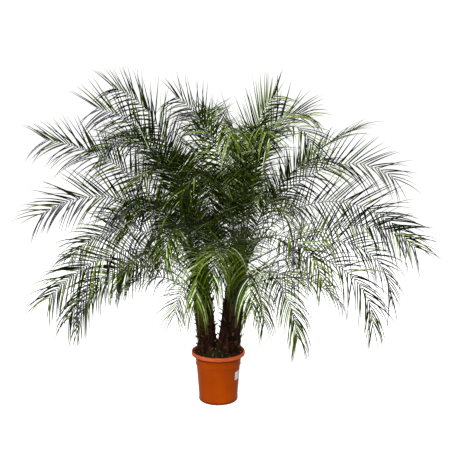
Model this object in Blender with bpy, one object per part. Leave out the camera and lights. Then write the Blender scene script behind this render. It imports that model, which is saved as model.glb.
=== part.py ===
"""Pygmy date palm: two leaning stems in a round nursery pot, with arching feather fronds.

Metres, +Z up. The origin is the centre of the pot's flat underside.
Headings are in degrees from +X, anticlockwise seen from above: 270 is the front.
"""
import math
from collections import namedtuple

import bmesh
import bpy
import numpy as np
from mathutils import Vector
from mathutils.bvhtree import BVHTree

GAP = 0.0003                  # between pieces that touch

# Pot
RIM_RADIUS = 0.1425
BODY_TOP_RADIUS = 0.1228      # just under the lip
BASE_RADIUS = 0.104
POT_HEIGHT = 0.2725
LIP_HEIGHT = 0.020
LIP_WIDTH = 0.008
LIP_ROUND = 0.0035
WALL = 0.003
SHOULDER_DROP = 0.054         # from the underside of the lip down to the stacking ring
SHOULDER_STEP = 0.0015
FOOT_CHAMFER = 0.006
ROUND_SIDES = 48
SMOOTH_ANGLE = 35
LIP_UNDERSIDE = POT_HEIGHT - LIP_HEIGHT
LIP_INNER_RADIUS = RIM_RADIUS - LIP_WIDTH
SHOULDER = LIP_UNDERSIDE - SHOULDER_DROP
LEDGE = LIP_UNDERSIDE + WALL      # inside the mouth, where the wall steps out into the lip

# Soil
SOIL_TOP = POT_HEIGHT - 0.007
SOIL_EDGE_DROP = 0.004
SOIL_PLATEAU_RADIUS = 0.126

# Stems
STEM_FOOT = SOIL_TOP + GAP
STEM_TOP = 0.79
CROWN_START = 0.74            # where a stem rounds over into its bud
BUD_NARROWING = 0.85          # share of its section that the bud loses by its top
STEM_SIDES = 16
STEM_RINGS = 24
STEM_TAPER = 0.36             # share of the radius lost between foot and crown
FLARE = 0.006
FLARE_HEIGHT = 0.035
BOSS_HEIGHT = 0.05            # old leaf bases stand out by this share of the radius

Stem = namedtuple("Stem", "foot_x top_x radius")
STEMS = {
    "left": Stem(foot_x=-0.056, top_x=-0.108, radius=0.045),
    "right": Stem(foot_x=0.057, top_x=0.112, radius=0.053),
}

# Ribs
PETIOLE_SHARE = 0.22          # bare part of a rib, before its first leaflets
PETIOLE_RINGS = 4
RIB_WIDTHS = (0.0060, 0.0034, 0.0012)     # half widths at the stem, first leaflets and tip
RIB_HEIGHTS = (0.0090, 0.0052, 0.0024)
CURVE_STEPS = 120
BASE_RING_UP = 0.016          # the foot of a petiole clasps its stem over this height
BASE_RING_DOWN = 0.010
BASE_RING_HALF_WIDTH = 0.009
SPLIT_BEND = 145              # a long frond that turns further than this is split at its bend
SPLIT_LENGTH = 0.80

# How a rib gives way to its stem and to the ribs before it
CLEARANCE = 0.0008            # least air between leaflets, ribs and stems
RAY_START = 0.2               # from the stem's axis, to find its surface
MOST_PUSH = 12                # gaps that a foot may stand out by
LEANS = range(0, 40, 3)       # degrees outwards
NUDGE_TURNS = (0, 4, -4, 8, -8, 12, -12)
NUDGE_DROPS = (0, 0.012, 0.024, 0.036, 0.050)

# Leaflets
LEAFLET_PITCH = 0.038
LONGEST_LEAFLET = 0.235
LENGTH_AT_FOOT = 0.56         # shares of the longest, at the two ends of the blade
LENGTH_AT_TIP = 0.74
LENGTH_SWELL = 0.355          # and what the middle has beyond them
SHORT_FROND_SHARE = 0.55      # least share of the length that a short frond's leaflets keep
END_LEAFLET = 0.6             # the leaflet at the very tip, as a share of its neighbours
FORWARD_FIRST = 62            # degrees between rib and leaflet at the first pair
FORWARD_LAST = 20
LIFT = 16                     # degrees that the two rows of leaflets stand up from flat
RANK = 5                      # degrees that every other leaflet stands above or below its row
DROOP = 0.15                  # fall of a leaflet's tip on a straight rib, as a share of its length
DROOP_PER_DEGREE = 0.0016     # and more for each degree that its frond bends down
SAME_RIB_REACH = 2            # leaflets share corners with rib segments this near to theirs
FOOT_CUT = 0.03               # share of a leaflet left out where it meets its neighbour's foot

# How a leaflet gives way to what is near it: degrees along the rib and out of the blade
Way = namedtuple("Way", "turn tilt shrink")
WAYS = [
    Way(0, 0, 1),
    Way(3, 0, 1),
    Way(-3, 0, 1),
    Way(0, 7, 1),
    Way(0, -7, 1),
    Way(4, 12, 0.95),
    Way(-4, -12, 0.95),
    Way(0, 0, 0.8),
    Way(2, 16, 0.85),
    Way(-2, -16, 0.85),
    Way(0, 22, 0.7),
    Way(0, 0, 0.6),
    Way(0, -22, 0.7),
    Way(0, 0, 0.45),
]

# A frond leaves its stem at a height, heading and rise (degrees up from level), and turns down
# by bend degrees over its length. A late of 1 turns evenly, more turns nearer the tip.
Frond = namedtuple("Frond", "stem height heading rise length bend late roll")

# The fronds that make the outline, and those that face the front
OUTLINE_FRONDS = [
    Frond("left", 0.77, 150, 81, 1.09, 68, 2.2, 78),
    Frond("left", 0.76, 184, 83, 1.00, 74, 2.0, 72),
    Frond("left", 0.73, 214, 79, 0.96, 118, 2.9, 35),
    Frond("left", 0.72, 165, 80, 1.13, 74, 0.78, 65),
    Frond("left", 0.71, 190, 76, 0.99, 112, 1.1, 60),
    Frond("left", 0.69, 211, 74, 0.70, 96, 1.4, 40),
    Frond("left", 0.67, 184, 79, 0.80, 130, 0.9, 55),
    Frond("left", 0.66, 215, 85, 0.94, 127, 0.54, 50),
    Frond("left", 0.54, 192, 85, 0.89, 170, 0.78, 35),
    Frond("left", 0.50, 164, 80, 0.54, 130, 0.8, 30),
    Frond("left", 0.53, 250, 78, 0.44, 144, 1.0, 20),
    Frond("left", 0.60, 202, 80, 0.86, 144, 0.7, 42),
    Frond("left", 0.60, 270, 80, 0.86, 136, 0.95, 10),
    Frond("right", 0.74, 326, 30, 1.00, 68, 2.7, -60),
    Frond("right", 0.77, 22, 84, 0.94, 115, 4.2, -50),
    Frond("right", 0.77, 312, 81, 1.03, 174, 3.7, -30),
    Frond("right", 0.73, 19, 83, 1.00, 63, 0.8, -4),
    Frond("right", 0.71, 5, 71, 1.08, 112, 1.8, -62),
    Frond("right", 0.69, 347, 80, 1.10, 132, 1.1, -60),
    Frond("right", 0.65, 0, 42, 1.03, 134, 1.6, -50),
    Frond("right", 0.63, 338, 48, 0.93, 141, 1.3, -45),
    Frond("right", 0.61, 18, 19, 0.64, 74, 1.25, -30),
    Frond("right", 0.67, 302, 87, 0.79, 152, 0.95, -35),
    Frond("right", 0.60, 298, 71, 0.75, 150, 0.87, -8),
    Frond("right", 0.57, 286, 76, 0.58, 146, 0.9, 0),
    Frond("right", 0.60, 275, 78, 0.84, 136, 0.95, -10),
    Frond("right", 0.64, 322, 44, 0.42, 70, 1.1, -40),
    Frond("right", 0.77, 128, 86, 1.01, 66, 1.7, 70),
    Frond("right", 0.77, 54, 86, 0.97, 72, 3.0, -50),
    Frond("right", 0.76, 255, 88, 0.98, 168, 3.6, 30),
    Frond("right", 0.75, 284, 87, 1.00, 154, 3.4, -20),
]

# The rest fill the crown behind and in front, from the youngest, at the top, to the oldest
Filling = namedtuple("Filling", "stem count middle spread rises lengths bends heights start")
FILLINGS = [
    Filling("left", 7, 92, 50, (84, 52), (1.10, 0.98), (84, 124), (0.76, 0.54), 0.35),
    Filling("right", 7, 86, 48, (84, 52), (1.12, 1.00), (90, 124), (0.76, 0.54), 0.80),
    Filling("left", 4, 280, 44, (86, 66), (1.02, 0.80), (130, 122), (0.75, 0.56), 0.15),
    Filling("right", 3, 244, 30, (84, 68), (1.00, 0.86), (132, 120), (0.74, 0.56), 0.55),
]
GOLDEN = 0.618
FILLING_LATE = 1.5
FILLING_ROLL = 20             # at the two ends of the sector

GREEN = (0.075, 0.135, 0.030)
BARK_BROWN = (0.085, 0.048, 0.028)
PEAT_BROWN = (0.030, 0.020, 0.014)
TERRACOTTA = (0.560, 0.130, 0.020)


def clear_scene():
    for item in list(bpy.data.objects):
        bpy.data.objects.remove(item, do_unlink=True)


def plain_material(name, color, roughness):
    material = bpy.data.materials.new(name)
    material.use_nodes = True
    shader = material.node_tree.nodes["Principled BSDF"]
    shader.inputs["Base Color"].default_value = (*color, 1)
    shader.inputs["Roughness"].default_value = roughness
    shader.inputs["Metallic"].default_value = 0
    material.diffuse_color = (*color, 1)
    return material


def add_solid(name, points, faces, material, smooth_angle=None):
    """One closed object from points and faces, with its faces turned outwards."""
    mesh = bpy.data.meshes.new(name)
    work = bmesh.new()
    verts = [work.verts.new(point) for point in points]
    for face in faces:
        work.faces.new([verts[index] for index in face])
    bmesh.ops.triangulate(work, faces=work.faces[:])
    bmesh.ops.recalc_face_normals(work, faces=work.faces[:])
    work.to_mesh(mesh)
    work.free()
    mesh.materials.append(material)
    if smooth_angle is not None:
        mesh.shade_smooth()
        mesh.set_sharp_from_angle(angle=math.radians(smooth_angle))
    solid = bpy.data.objects.new(name, mesh)
    bpy.context.collection.objects.link(solid)
    return solid


def turned(name, profile, material):
    """A round solid from a profile of (radius, height) that starts and ends on the axis."""
    points = [(0, 0, profile[0][1])]
    for radius, height in profile[1:-1]:
        for side in range(ROUND_SIDES):
            angle = 2 * math.pi * side / ROUND_SIDES
            points.append((radius * math.cos(angle), radius * math.sin(angle), height))
    points.append((0, 0, profile[-1][1]))
    last = len(points) - 1
    rows = len(profile) - 2
    faces = []
    for side in range(ROUND_SIDES):
        after = (side + 1) % ROUND_SIDES
        faces.append((0, 1 + side, 1 + after))
        for row in range(rows - 1):
            low = 1 + row * ROUND_SIDES
            high = low + ROUND_SIDES
            faces.append((low + side, low + after, high + after, high + side))
        top = 1 + (rows - 1) * ROUND_SIDES
        faces.append((top + side, top + after, last))
    return add_solid(name, points, faces, material, smooth_angle=SMOOTH_ANGLE)


def body_radius(height):
    """Outer radius of the pot's tapering body."""
    share = height / LIP_UNDERSIDE
    return BASE_RADIUS + (BODY_TOP_RADIUS - BASE_RADIUS) * share


def make_pot():
    profile = [
        (0, 0),
        (BASE_RADIUS - FOOT_CHAMFER, 0),
        (body_radius(FOOT_CHAMFER), FOOT_CHAMFER),
        (body_radius(SHOULDER) - SHOULDER_STEP, SHOULDER),
        (body_radius(SHOULDER), SHOULDER + SHOULDER_STEP),
        (BODY_TOP_RADIUS, LIP_UNDERSIDE),
        (RIM_RADIUS - LIP_ROUND, LIP_UNDERSIDE),
        (RIM_RADIUS, LIP_UNDERSIDE + LIP_ROUND),
        (RIM_RADIUS, POT_HEIGHT - LIP_ROUND),
        (RIM_RADIUS - LIP_ROUND, POT_HEIGHT),
        (LIP_INNER_RADIUS, POT_HEIGHT - LIP_ROUND),
        (LIP_INNER_RADIUS, LEDGE + WALL),
        (BODY_TOP_RADIUS - WALL, LEDGE),
        (BASE_RADIUS - WALL, 2 * WALL),
        (BASE_RADIUS - 2 * WALL, WALL),
        (0, WALL),
    ]
    turned("pot", profile, plain_material("terracotta plastic", TERRACOTTA, 0.45))


def make_soil():
    profile = [
        (0, WALL + GAP),
        (BASE_RADIUS - 2 * WALL - GAP, WALL + GAP),
        (BASE_RADIUS - WALL - GAP, 2 * WALL + GAP),
        (BODY_TOP_RADIUS - WALL - GAP, LEDGE + GAP),
        (LIP_INNER_RADIUS - GAP, LEDGE + WALL + GAP),
        (LIP_INNER_RADIUS - GAP, SOIL_TOP - SOIL_EDGE_DROP),
        (SOIL_PLATEAU_RADIUS, SOIL_TOP),
        (0, SOIL_TOP),
    ]
    turned("soil", profile, plain_material("peat", PEAT_BROWN, 0.95))


def stem_axis(stem, height):
    share = (height - STEM_FOOT) / (STEM_TOP - STEM_FOOT)
    return Vector((stem.foot_x + (stem.top_x - stem.foot_x) * share, 0, height))


def stem_radius(stem, height):
    """Radius without the leaf bases: a root flare, a taper, and a bud that rounds over."""
    share = (height - STEM_FOOT) / (CROWN_START - STEM_FOOT)
    radius = stem.radius * (1 - STEM_TAPER * min(share, 1) ** 2)
    radius += FLARE * math.exp(-(height - STEM_FOOT) / FLARE_HEIGHT)
    if height > CROWN_START:
        bud_share = (height - CROWN_START) / (STEM_TOP - CROWN_START)
        radius *= math.sqrt(1 - BUD_NARROWING * bud_share ** 2)
    return radius


def make_stem(side, material):
    """A tapering trunk whose alternate points stand out as old leaf bases."""
    stem = STEMS[side]
    points = []
    for ring in range(STEM_RINGS + 1):
        height = STEM_FOOT + (STEM_TOP - STEM_FOOT) * ring / STEM_RINGS
        centre = stem_axis(stem, height)
        at_end = ring in (0, STEM_RINGS)
        for step in range(STEM_SIDES):
            boss = 0 if at_end else BOSS_HEIGHT * (1 if (step + ring) % 2 else -1)
            radius = stem_radius(stem, height) * (1 + boss)
            angle = 2 * math.pi * step / STEM_SIDES
            points.append(centre + Vector((radius * math.cos(angle), radius * math.sin(angle), 0)))
    faces = [tuple(range(STEM_SIDES)), tuple(range(STEM_RINGS * STEM_SIDES, len(points)))]
    for ring in range(STEM_RINGS):
        low = ring * STEM_SIDES
        high = low + STEM_SIDES
        for step in range(STEM_SIDES):
            after = (step + 1) % STEM_SIDES
            faces.append((low + step, low + after, high + after, high + step))
    return add_solid("stem_" + side, points, faces, material)


def tree_of(points, faces):
    return BVHTree.FromPolygons([tuple(point) for point in points], faces)


def tree_of_object(item):
    mesh = item.data
    return tree_of([v.co for v in mesh.vertices], [tuple(p.vertices) for p in mesh.polygons])


def between(values, share):
    """A value that runs evenly from the first to the second as share goes from 0 to 1."""
    return values[0] + (values[1] - values[0]) * share


def rib_size(sizes, share):
    """A rib's size along its length: quickly down to the first leaflets, then to the tip."""
    if share < PETIOLE_SHARE:
        return between(sizes[:2], share / PETIOLE_SHARE)
    return between(sizes[1:], (share - PETIOLE_SHARE) / (1 - PETIOLE_SHARE))


def unit(vector):
    return vector / np.linalg.norm(vector)


class Rib:
    """The curve of a frond's midrib, with its side and upper directions."""

    def __init__(self, frond, base):
        heading = math.radians(frond.heading)
        share = (np.arange(CURVE_STEPS) + 0.5) / CURVE_STEPS
        pitch = np.radians(frond.rise - frond.bend * share ** frond.late)
        out = np.array((math.cos(heading), math.sin(heading), 0))
        up = np.array((0, 0, 1))
        steps = np.cos(pitch)[:, None] * out + np.sin(pitch)[:, None] * up
        self.frond = frond
        self.level_side = np.array((math.sin(heading), -math.cos(heading), 0))
        self.points = np.vstack((base, base + np.cumsum(steps, axis=0) * frond.length / CURVE_STEPS))
        self.directions = np.vstack((steps[:1], (steps[1:] + steps[:-1]) / 2, steps[-1:]))

    def at(self, share):
        """Point, forward, side and upper directions at a share of the length."""
        place = min(share * CURVE_STEPS, CURVE_STEPS - 1e-6)
        step = int(place)
        rest = place - step
        point = self.points[step] * (1 - rest) + self.points[step + 1] * rest
        forward = unit(self.directions[step] * (1 - rest) + self.directions[step + 1] * rest)
        upper = np.cross(self.level_side, forward)
        turn = math.radians(self.frond.roll) * min(1, share / (2 * PETIOLE_SHARE)) ** 2
        side = self.level_side * math.cos(turn) + upper * math.sin(turn)
        return point, forward, side, np.cross(side, forward)

    def ring(self, share, grow=0.0):
        """The three corners of the rib: its ridge, and its lower right and left edges."""
        point, _, side, upper = self.at(share)
        width = rib_size(RIB_WIDTHS, share) + grow
        height = rib_size(RIB_HEIGHTS, share) / 2 + grow
        return [point + upper * height, point + side * width - upper * height,
                point - side * width - upper * height]


def pair_count(frond):
    return round(frond.length * (1 - PETIOLE_SHARE) / LEAFLET_PITCH)


def ring_shares(frond):
    """Where a rib has rings: a few along the petiole, then one between each two pairs."""
    petiole = [PETIOLE_SHARE * step / PETIOLE_RINGS for step in range(PETIOLE_RINGS)]
    pairs = pair_count(frond)
    return petiole + [PETIOLE_SHARE + (1 - PETIOLE_SHARE) * step / pairs
                      for step in range(pairs + 1)]


def tube(rings):
    """Points and faces of a three-sided tube with closed ends."""
    points = [corner for ring in rings for corner in ring]
    faces = [(0, 1, 2), (len(points) - 3, len(points) - 2, len(points) - 1)]
    for start in range(0, len(points) - 3, 3):
        for corner in range(3):
            after = (corner + 1) % 3
            faces.append((start + corner, start + after, start + 3 + after, start + 3 + corner))
    return points, faces


def base_ring(frond, base):
    """The foot of a petiole, flat against its stem."""
    heading = math.radians(frond.heading)
    side = np.array((math.sin(heading), -math.cos(heading), 0)) * BASE_RING_HALF_WIDTH
    up = np.array((0, 0, 1))
    return [base + up * BASE_RING_UP, base + side - up * BASE_RING_DOWN,
            base - side - up * BASE_RING_DOWN]


def rib_rings(rib, grow=0.0):
    rings = [rib.ring(share, grow) for share in ring_shares(rib.frond)]
    rings[0] = base_ring(rib.frond, rib.points[0])
    return rings


def seated_rib(frond, stem_tree):
    """A rib that starts just clear of its stem and leans out until nothing else touches it."""
    axis = stem_axis(STEMS[frond.stem], frond.height)
    heading = math.radians(frond.heading)
    out = Vector((math.cos(heading), math.sin(heading), 0))
    surface = stem_tree.ray_cast(axis + out * RAY_START, -out)[0]
    for lean in LEANS:
        for push in range(1, MOST_PUSH):
            base = np.array(surface + out * (GAP * push))
            rib = Rib(frond._replace(rise=frond.rise - lean), base)
            if not tree_of(*tube(rib_rings(rib))).overlap(stem_tree):
                return rib
    return None


def place_ribs(fronds, stem_trees):
    """Ribs for all fronds, each turned or lowered a little until it clears those before it."""
    nudges = [(turn, drop) for drop in NUDGE_DROPS for turn in NUDGE_TURNS]
    ribs = []
    trees = []
    for frond in fronds:
        for turn, drop in nudges:
            trial = frond._replace(heading=frond.heading + turn, height=frond.height - drop)
            rib = seated_rib(trial, stem_trees[frond.stem])
            if rib is None:
                continue
            swollen = tree_of(*tube(rib_rings(rib, CLEARANCE)))
            if any(swollen.overlap(tree) for tree in trees + list(stem_trees.values())):
                continue
            ribs.append(rib)
            trees.append(tree_of(*tube(rib_rings(rib))))
            break
    return ribs, trees


def filling_fronds():
    """Fronds that spread over a sector by golden steps, lower and flatter with age."""
    fronds = []
    for filling in FILLINGS:
        for place in range(filling.count):
            age = place / max(1, filling.count - 1)
            swing = 2 * ((filling.start + GOLDEN * place) % 1) - 1
            fronds.append(Frond(
                stem=filling.stem,
                height=between(filling.heights, age),
                heading=filling.middle + filling.spread * swing,
                rise=between(filling.rises, age),
                length=between(filling.lengths, age),
                bend=between(filling.bends, age),
                late=FILLING_LATE,
                roll=FILLING_ROLL * swing,
            ))
    return fronds


def leaflet_length(frond, along):
    """Leaflets are longest near the middle of the blade. Short fronds have shorter ones."""
    share = between((LENGTH_AT_FOOT, LENGTH_AT_TIP), along) + LENGTH_SWELL * 4 * along * (1 - along)
    return LONGEST_LEAFLET * share * between((SHORT_FROND_SHARE, 1), min(1, frond.length))


def leaflet_tip(rib, pair, side, way):
    """Where a leaflet ends. Side is 1 on the right of the rib and -1 on the left."""
    pairs = pair_count(rib.frond)
    along = (pair + 0.5) / pairs
    point, forward, across, upper = rib.at(PETIOLE_SHARE + (1 - PETIOLE_SHARE) * along)
    angle = math.radians(between((FORWARD_FIRST, FORWARD_LAST), along) + way.turn)
    rank = RANK if (pair + (side > 0)) % 2 else -RANK
    lift = math.radians(LIFT + rank + way.tilt)
    outward = across * side * math.cos(lift) + upper * math.sin(lift)
    length = leaflet_length(rib.frond, along) * way.shrink
    tip = point + (forward * math.cos(angle) + outward * math.sin(angle)) * length
    tip[2] -= (DROOP + DROOP_PER_DEGREE * rib.frond.bend) * length
    return tip


def leaflet_solid(rings, pair, side, tip, grow=0.0, cut=0.0):
    """A leaflet's tapering solid: grown a little all round, or with its foot cut off."""
    edge = 1 if side > 0 else 2
    near = rings[PETIOLE_RINGS + pair]
    far = rings[PETIOLE_RINGS + pair + 1]
    foot = [near[0], near[edge], far[edge], far[0]]
    middle = sum(foot) / 4
    foot = [corner + (tip - corner) * cut for corner in foot]
    if grow:
        foot = [corner + unit(corner - middle) * grow for corner in foot]
        tip = tip + unit(tip - middle) * grow
    points = foot + [tip]
    return points, [(3, 2, 1, 0), (0, 1, 4), (1, 2, 4), (2, 3, 4), (3, 0, 4)]


class Crown:
    """Remembers what is placed, to keep each new leaflet clear of it."""

    def __init__(self, ribs, rib_trees, other_trees):
        self.ribs = ribs
        self.rings = [rib_rings(rib) for rib in ribs]
        self.rib_trees = rib_trees
        self.other_trees = other_trees
        self.leaflets = {}
        self.lows = []
        self.highs = []
        self.placed = []

    def near(self, low, high):
        if not self.placed:
            return []
        lows = np.array(self.lows)
        highs = np.array(self.highs)
        meets = np.all((lows <= high) & (highs >= low), axis=1)
        return [self.placed[index] for index in np.nonzero(meets)[0]]

    def own_rib_hit(self, frond, pair, tree):
        """Whether a leaflet runs into its own rib further along or back."""
        rings = self.rings[frond]
        place = PETIOLE_RINGS + pair
        for part in (rings[:place - SAME_RIB_REACH + 1], rings[place + SAME_RIB_REACH:]):
            if len(part) > 1 and tree.overlap(tree_of(*tube(part))):
                return True
        return False

    def fits(self, frond, pair, side, tip):
        rings = self.rings[frond]
        grown = leaflet_solid(rings, pair, side, tip, grow=CLEARANCE)
        tree = tree_of(*grown)
        for index, rib_tree in enumerate(self.rib_trees):
            if index != frond and tree.overlap(rib_tree):
                return False
        if any(tree.overlap(other) for other in self.other_trees):
            return False
        if self.own_rib_hit(frond, pair, tree):
            return False
        low = np.min(grown[0], axis=0)
        high = np.max(grown[0], axis=0)
        cut_tree = tree_of(*leaflet_solid(rings, pair, side, tip, cut=FOOT_CUT))
        for other_frond, other_tree, other_cut_tree in self.near(low, high):
            if other_frond == frond:
                if cut_tree.overlap(other_cut_tree):
                    return False
            elif tree.overlap(other_tree):
                return False
        return True

    def place(self, frond, pair, side):
        """Keep the first way that fits. A leaflet with none is left out."""
        rib = self.ribs[frond]
        for way in WAYS:
            tip = leaflet_tip(rib, pair, side, way)
            if not self.fits(frond, pair, side, tip):
                continue
            solid = leaflet_solid(self.rings[frond], pair, side, tip)
            cut_solid = leaflet_solid(self.rings[frond], pair, side, tip, cut=FOOT_CUT)
            self.leaflets[frond, pair, side] = tip
            self.lows.append(np.min(solid[0], axis=0))
            self.highs.append(np.max(solid[0], axis=0))
            self.placed.append((frond, tree_of(*solid), tree_of(*cut_solid)))
            return

    def place_all(self):
        """Fronds take turns, one pair each, from the tips inwards."""
        most = max(pair_count(rib.frond) for rib in self.ribs)
        for step in range(most):
            for frond, rib in enumerate(self.ribs):
                pair = pair_count(rib.frond) - 1 - step
                if pair >= 0:
                    self.place(frond, pair, 1)
                    self.place(frond, pair, -1)


def blade(rings, tips, first_pair, closing_tip):
    """Points and faces of a stretch of frond. Each tip draws one leaflet out of the rib's side."""
    points = [corner for ring in rings for corner in ring]
    faces = [(0, 1, 2)]
    for number in range(len(rings) - 1):
        low = number * 3
        high = low + 3
        faces.append((low + 1, low + 2, high + 2, high + 1))
        for side, edge in ((1, 1), (-1, 2)):
            tip = tips.get((number - first_pair, side))
            foot = (low, low + edge, high + edge, high)
            if tip is None:
                faces.append(foot)
                continue
            points.append(tip)
            apex = len(points) - 1
            for corner in range(4):
                faces.append((foot[corner], foot[(corner + 1) % 4], apex))
    end = (len(rings) - 1) * 3
    if closing_tip is None:
        faces.append((end, end + 1, end + 2))
    else:
        points.append(closing_tip)
        apex = len(points) - 1
        for corner in range(3):
            faces.append((end + corner, end + (corner + 1) % 3, apex))
    return points, faces


def frond_names(fronds):
    """Plain names, numbered for each stem."""
    counts = {"left": 0, "right": 0}
    names = []
    for frond in fronds:
        counts[frond.stem] += 1
        names.append("frond_%s_%02d" % (frond.stem, counts[frond.stem]))
    return names


def make_frond(name, rib, rings, tips, end_tip, material):
    """One frond. A long one that arches over a wide gap is two solids that meet at the bend."""
    frond = rib.frond
    if frond.bend < SPLIT_BEND or frond.length < SPLIT_LENGTH:
        add_solid(name, *blade(rings, tips, PETIOLE_RINGS, end_tip), material)
        return
    middle = len(rings) // 2
    add_solid(name, *blade(rings[:middle + 1], tips, PETIOLE_RINGS, None), material)
    forward = rib.at(ring_shares(frond)[middle])[1]
    start = [corner + forward * GAP for corner in rings[middle]]
    outer = blade([start] + rings[middle + 1:], tips, PETIOLE_RINGS - middle, end_tip)
    add_solid(name + "_outer", *outer, material)


def main():
    clear_scene()
    make_pot()
    make_soil()
    bark = plain_material("fibrous bark", BARK_BROWN, 0.9)
    stems = {side: make_stem(side, bark) for side in STEMS}
    bpy.context.view_layer.update()
    stem_trees = {side: tree_of_object(item) for side, item in stems.items()}
    ground = [tree_of_object(bpy.data.objects[name]) for name in ("pot", "soil")]
    fronds = OUTLINE_FRONDS + filling_fronds()
    ribs, rib_trees = place_ribs(fronds, stem_trees)
    crown = Crown(ribs, rib_trees, list(stem_trees.values()) + ground)
    crown.place_all()
    green = plain_material("frond green", GREEN, 0.5)
    for index, name in enumerate(frond_names([rib.frond for rib in ribs])):
        rib = ribs[index]
        tips = {(pair, side): tip for (frond, pair, side), tip in crown.leaflets.items()
                if frond == index}
        point, forward, _, _ = rib.at(1)
        end_tip = point + forward * leaflet_length(rib.frond, 1) * END_LEAFLET
        make_frond(name, rib, crown.rings[index], tips, end_tip, green)


main()
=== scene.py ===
"""Looks of a potted pygmy date palm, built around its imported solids.

Metres, +Z up, -Y towards the camera. Headings are in degrees from +X, anticlockwise from above.
Each frond's rib follows the same rule as its solid, and its leaflets are finer and closer together.
"""
import math
from collections import namedtuple
from itertools import combinations

import bpy
import numpy as np
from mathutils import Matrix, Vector, noise
from mathutils.bvhtree import BVHTree


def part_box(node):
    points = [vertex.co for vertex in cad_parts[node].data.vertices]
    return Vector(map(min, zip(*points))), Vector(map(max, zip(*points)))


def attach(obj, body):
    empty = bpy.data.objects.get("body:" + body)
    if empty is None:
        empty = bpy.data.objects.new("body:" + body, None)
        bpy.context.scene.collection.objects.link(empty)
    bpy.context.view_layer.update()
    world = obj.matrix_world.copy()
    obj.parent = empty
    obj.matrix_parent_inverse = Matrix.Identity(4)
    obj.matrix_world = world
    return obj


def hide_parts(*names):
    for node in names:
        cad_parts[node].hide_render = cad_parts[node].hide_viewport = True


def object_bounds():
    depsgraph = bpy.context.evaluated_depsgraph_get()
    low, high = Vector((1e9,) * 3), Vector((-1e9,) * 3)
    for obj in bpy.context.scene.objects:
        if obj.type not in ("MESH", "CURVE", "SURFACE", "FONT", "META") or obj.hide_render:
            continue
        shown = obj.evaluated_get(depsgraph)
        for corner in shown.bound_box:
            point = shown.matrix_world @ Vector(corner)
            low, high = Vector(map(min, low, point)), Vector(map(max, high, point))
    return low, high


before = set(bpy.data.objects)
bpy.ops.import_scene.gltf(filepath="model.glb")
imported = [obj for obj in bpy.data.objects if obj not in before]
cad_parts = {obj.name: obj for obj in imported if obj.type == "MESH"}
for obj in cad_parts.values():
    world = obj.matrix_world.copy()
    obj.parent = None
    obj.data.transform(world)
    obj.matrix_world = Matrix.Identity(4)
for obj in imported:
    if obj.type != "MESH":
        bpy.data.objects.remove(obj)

cad_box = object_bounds()
UP = np.array((0.0, 0.0, 1.0))

# Camera, from the photograph: it looks slightly down on the crown
CAMERA_PLACE = (0.036, -4.0, 1.63)
CAMERA_TILT = 80.35
LENS_MM = 62.4
SENSOR_MM = 36

# Stage and light
FLOOR_HALF = 40
FLOOR_GREY = (0.60, 0.60, 0.60, 1)
FLOOR_GLOW = 0.86
# Strength of the light from all round, by direction from straight down (0) to straight up (1)
SURROUND_LEVELS = ((0, 0.12), (0.455, 0.12), (0.465, 1.05), (0.60, 1.05), (0.64, 0.26), (1, 0.26))
LIGHT_TARGET = (0, 0, 0.8)
Lamp = namedtuple("Lamp", "name place size power")
LAMPS = [
    Lamp("key", (-0.7, -4.6, 3.6), 1.2, 380),
    Lamp("top", (0.6, 0.8, 5.0), 1.6, 120),
    Lamp("back", (0.8, 4.2, 3.4), 2.0, 80),
]

# Pot
RIM_RADIUS = 0.1425
BODY_TOP_RADIUS = 0.1228
BASE_RADIUS = 0.104
POT_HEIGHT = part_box("pot")[1].z
LIP_HEIGHT = 0.020
LIP_WIDTH = 0.008
LIP_ROUND = LIP_HEIGHT * 0.2
LIP_INNER_ROUND = LIP_ROUND * 0.7
LIP_INNER_RADIUS = RIM_RADIUS - LIP_WIDTH
LIP_UNDERSIDE = POT_HEIGHT - LIP_HEIGHT
WALL = 0.003
SHOULDER = LIP_UNDERSIDE - 0.054
SHOULDER_STEP = 0.0026
SHOULDER_BEAD = 0.0018        # the stacking ring over the shoulder
BEAD_ROUND = 0.0014
BEAD_INSET = 0.0012
BEAD_RISE = 0.0022
FOOT_ROUND = 0.007
FOOT_RING = 0.019             # how far inside the base radius the underside is raised
HOLLOW = 0.0015
BODY_START = 0.03
INSIDE_DEPTH = 0.03           # the inside is closed this far below the lip, under the peat
POT_SIDES = 144
DARK_FOOT_HEIGHT = 0.018          # the pot is darker below this height
DARK_FOOT = (0.100, 0.018, 0.001, 1)
BODY_COLORS = ((0.33, 0.045, 0.0002), (0.39, 0.055, 0.0006))
# The lip's colours are paler: painted light where the lip catches the lamps
LIP_LIT_COLORS = ((0.58, 0.082, 0.020), (0.70, 0.125, 0.036))
LABEL_HEADING = 333
LABEL_HEIGHT = 0.151
LABEL_SIZE = 0.045
LABEL_LIFT = 0.0005
LABEL_THICKNESS = 0.0003
LABEL_CELLS = 12
LABEL_CURL = 0.012            # how its loose corner comes away from the pot
CURL_START = 1.55             # where the shares of width and height add up to this

# Soil
SOIL_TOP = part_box("soil")[1].z
SOIL_GAP = 0.0005
SOIL_RADIUS = LIP_INNER_RADIUS - SOIL_GAP
SOIL_DEPTH = 0.03
SOIL_SHOULDER = LIP_UNDERSIDE + 2 * WALL + SOIL_GAP
SOIL_BOTTOM_RADIUS = BODY_TOP_RADIUS - WALL - 4 * SOIL_GAP
SOIL_SIDES = 120
SOIL_RINGS = 56
SOIL_SETTLED = 0.002          # how far the rough surface lies below the solid's top
SOIL_ROUGHNESS = 0.005
SOIL_EDGE_START = 0.86        # share of the radius where the peat begins to fall to the wall
SOIL_EDGE_DROP = 0.004
COLLAR_HEIGHT = 0.010         # peat drawn up against each stem
COLLAR_WIDTH = 0.010
HEAP_HEIGHT = 0.058           # peat heaped up between the two stems
HEAP_WIDTH = 0.026
CRUMBS = 900
CRUMB_SIZES = (0.0012, 0.0042)
GRAIN_SIZES = (0.0014, 0.0028)
GRAIN_SHARE = 0.08            # of the crumbs that are white
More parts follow.
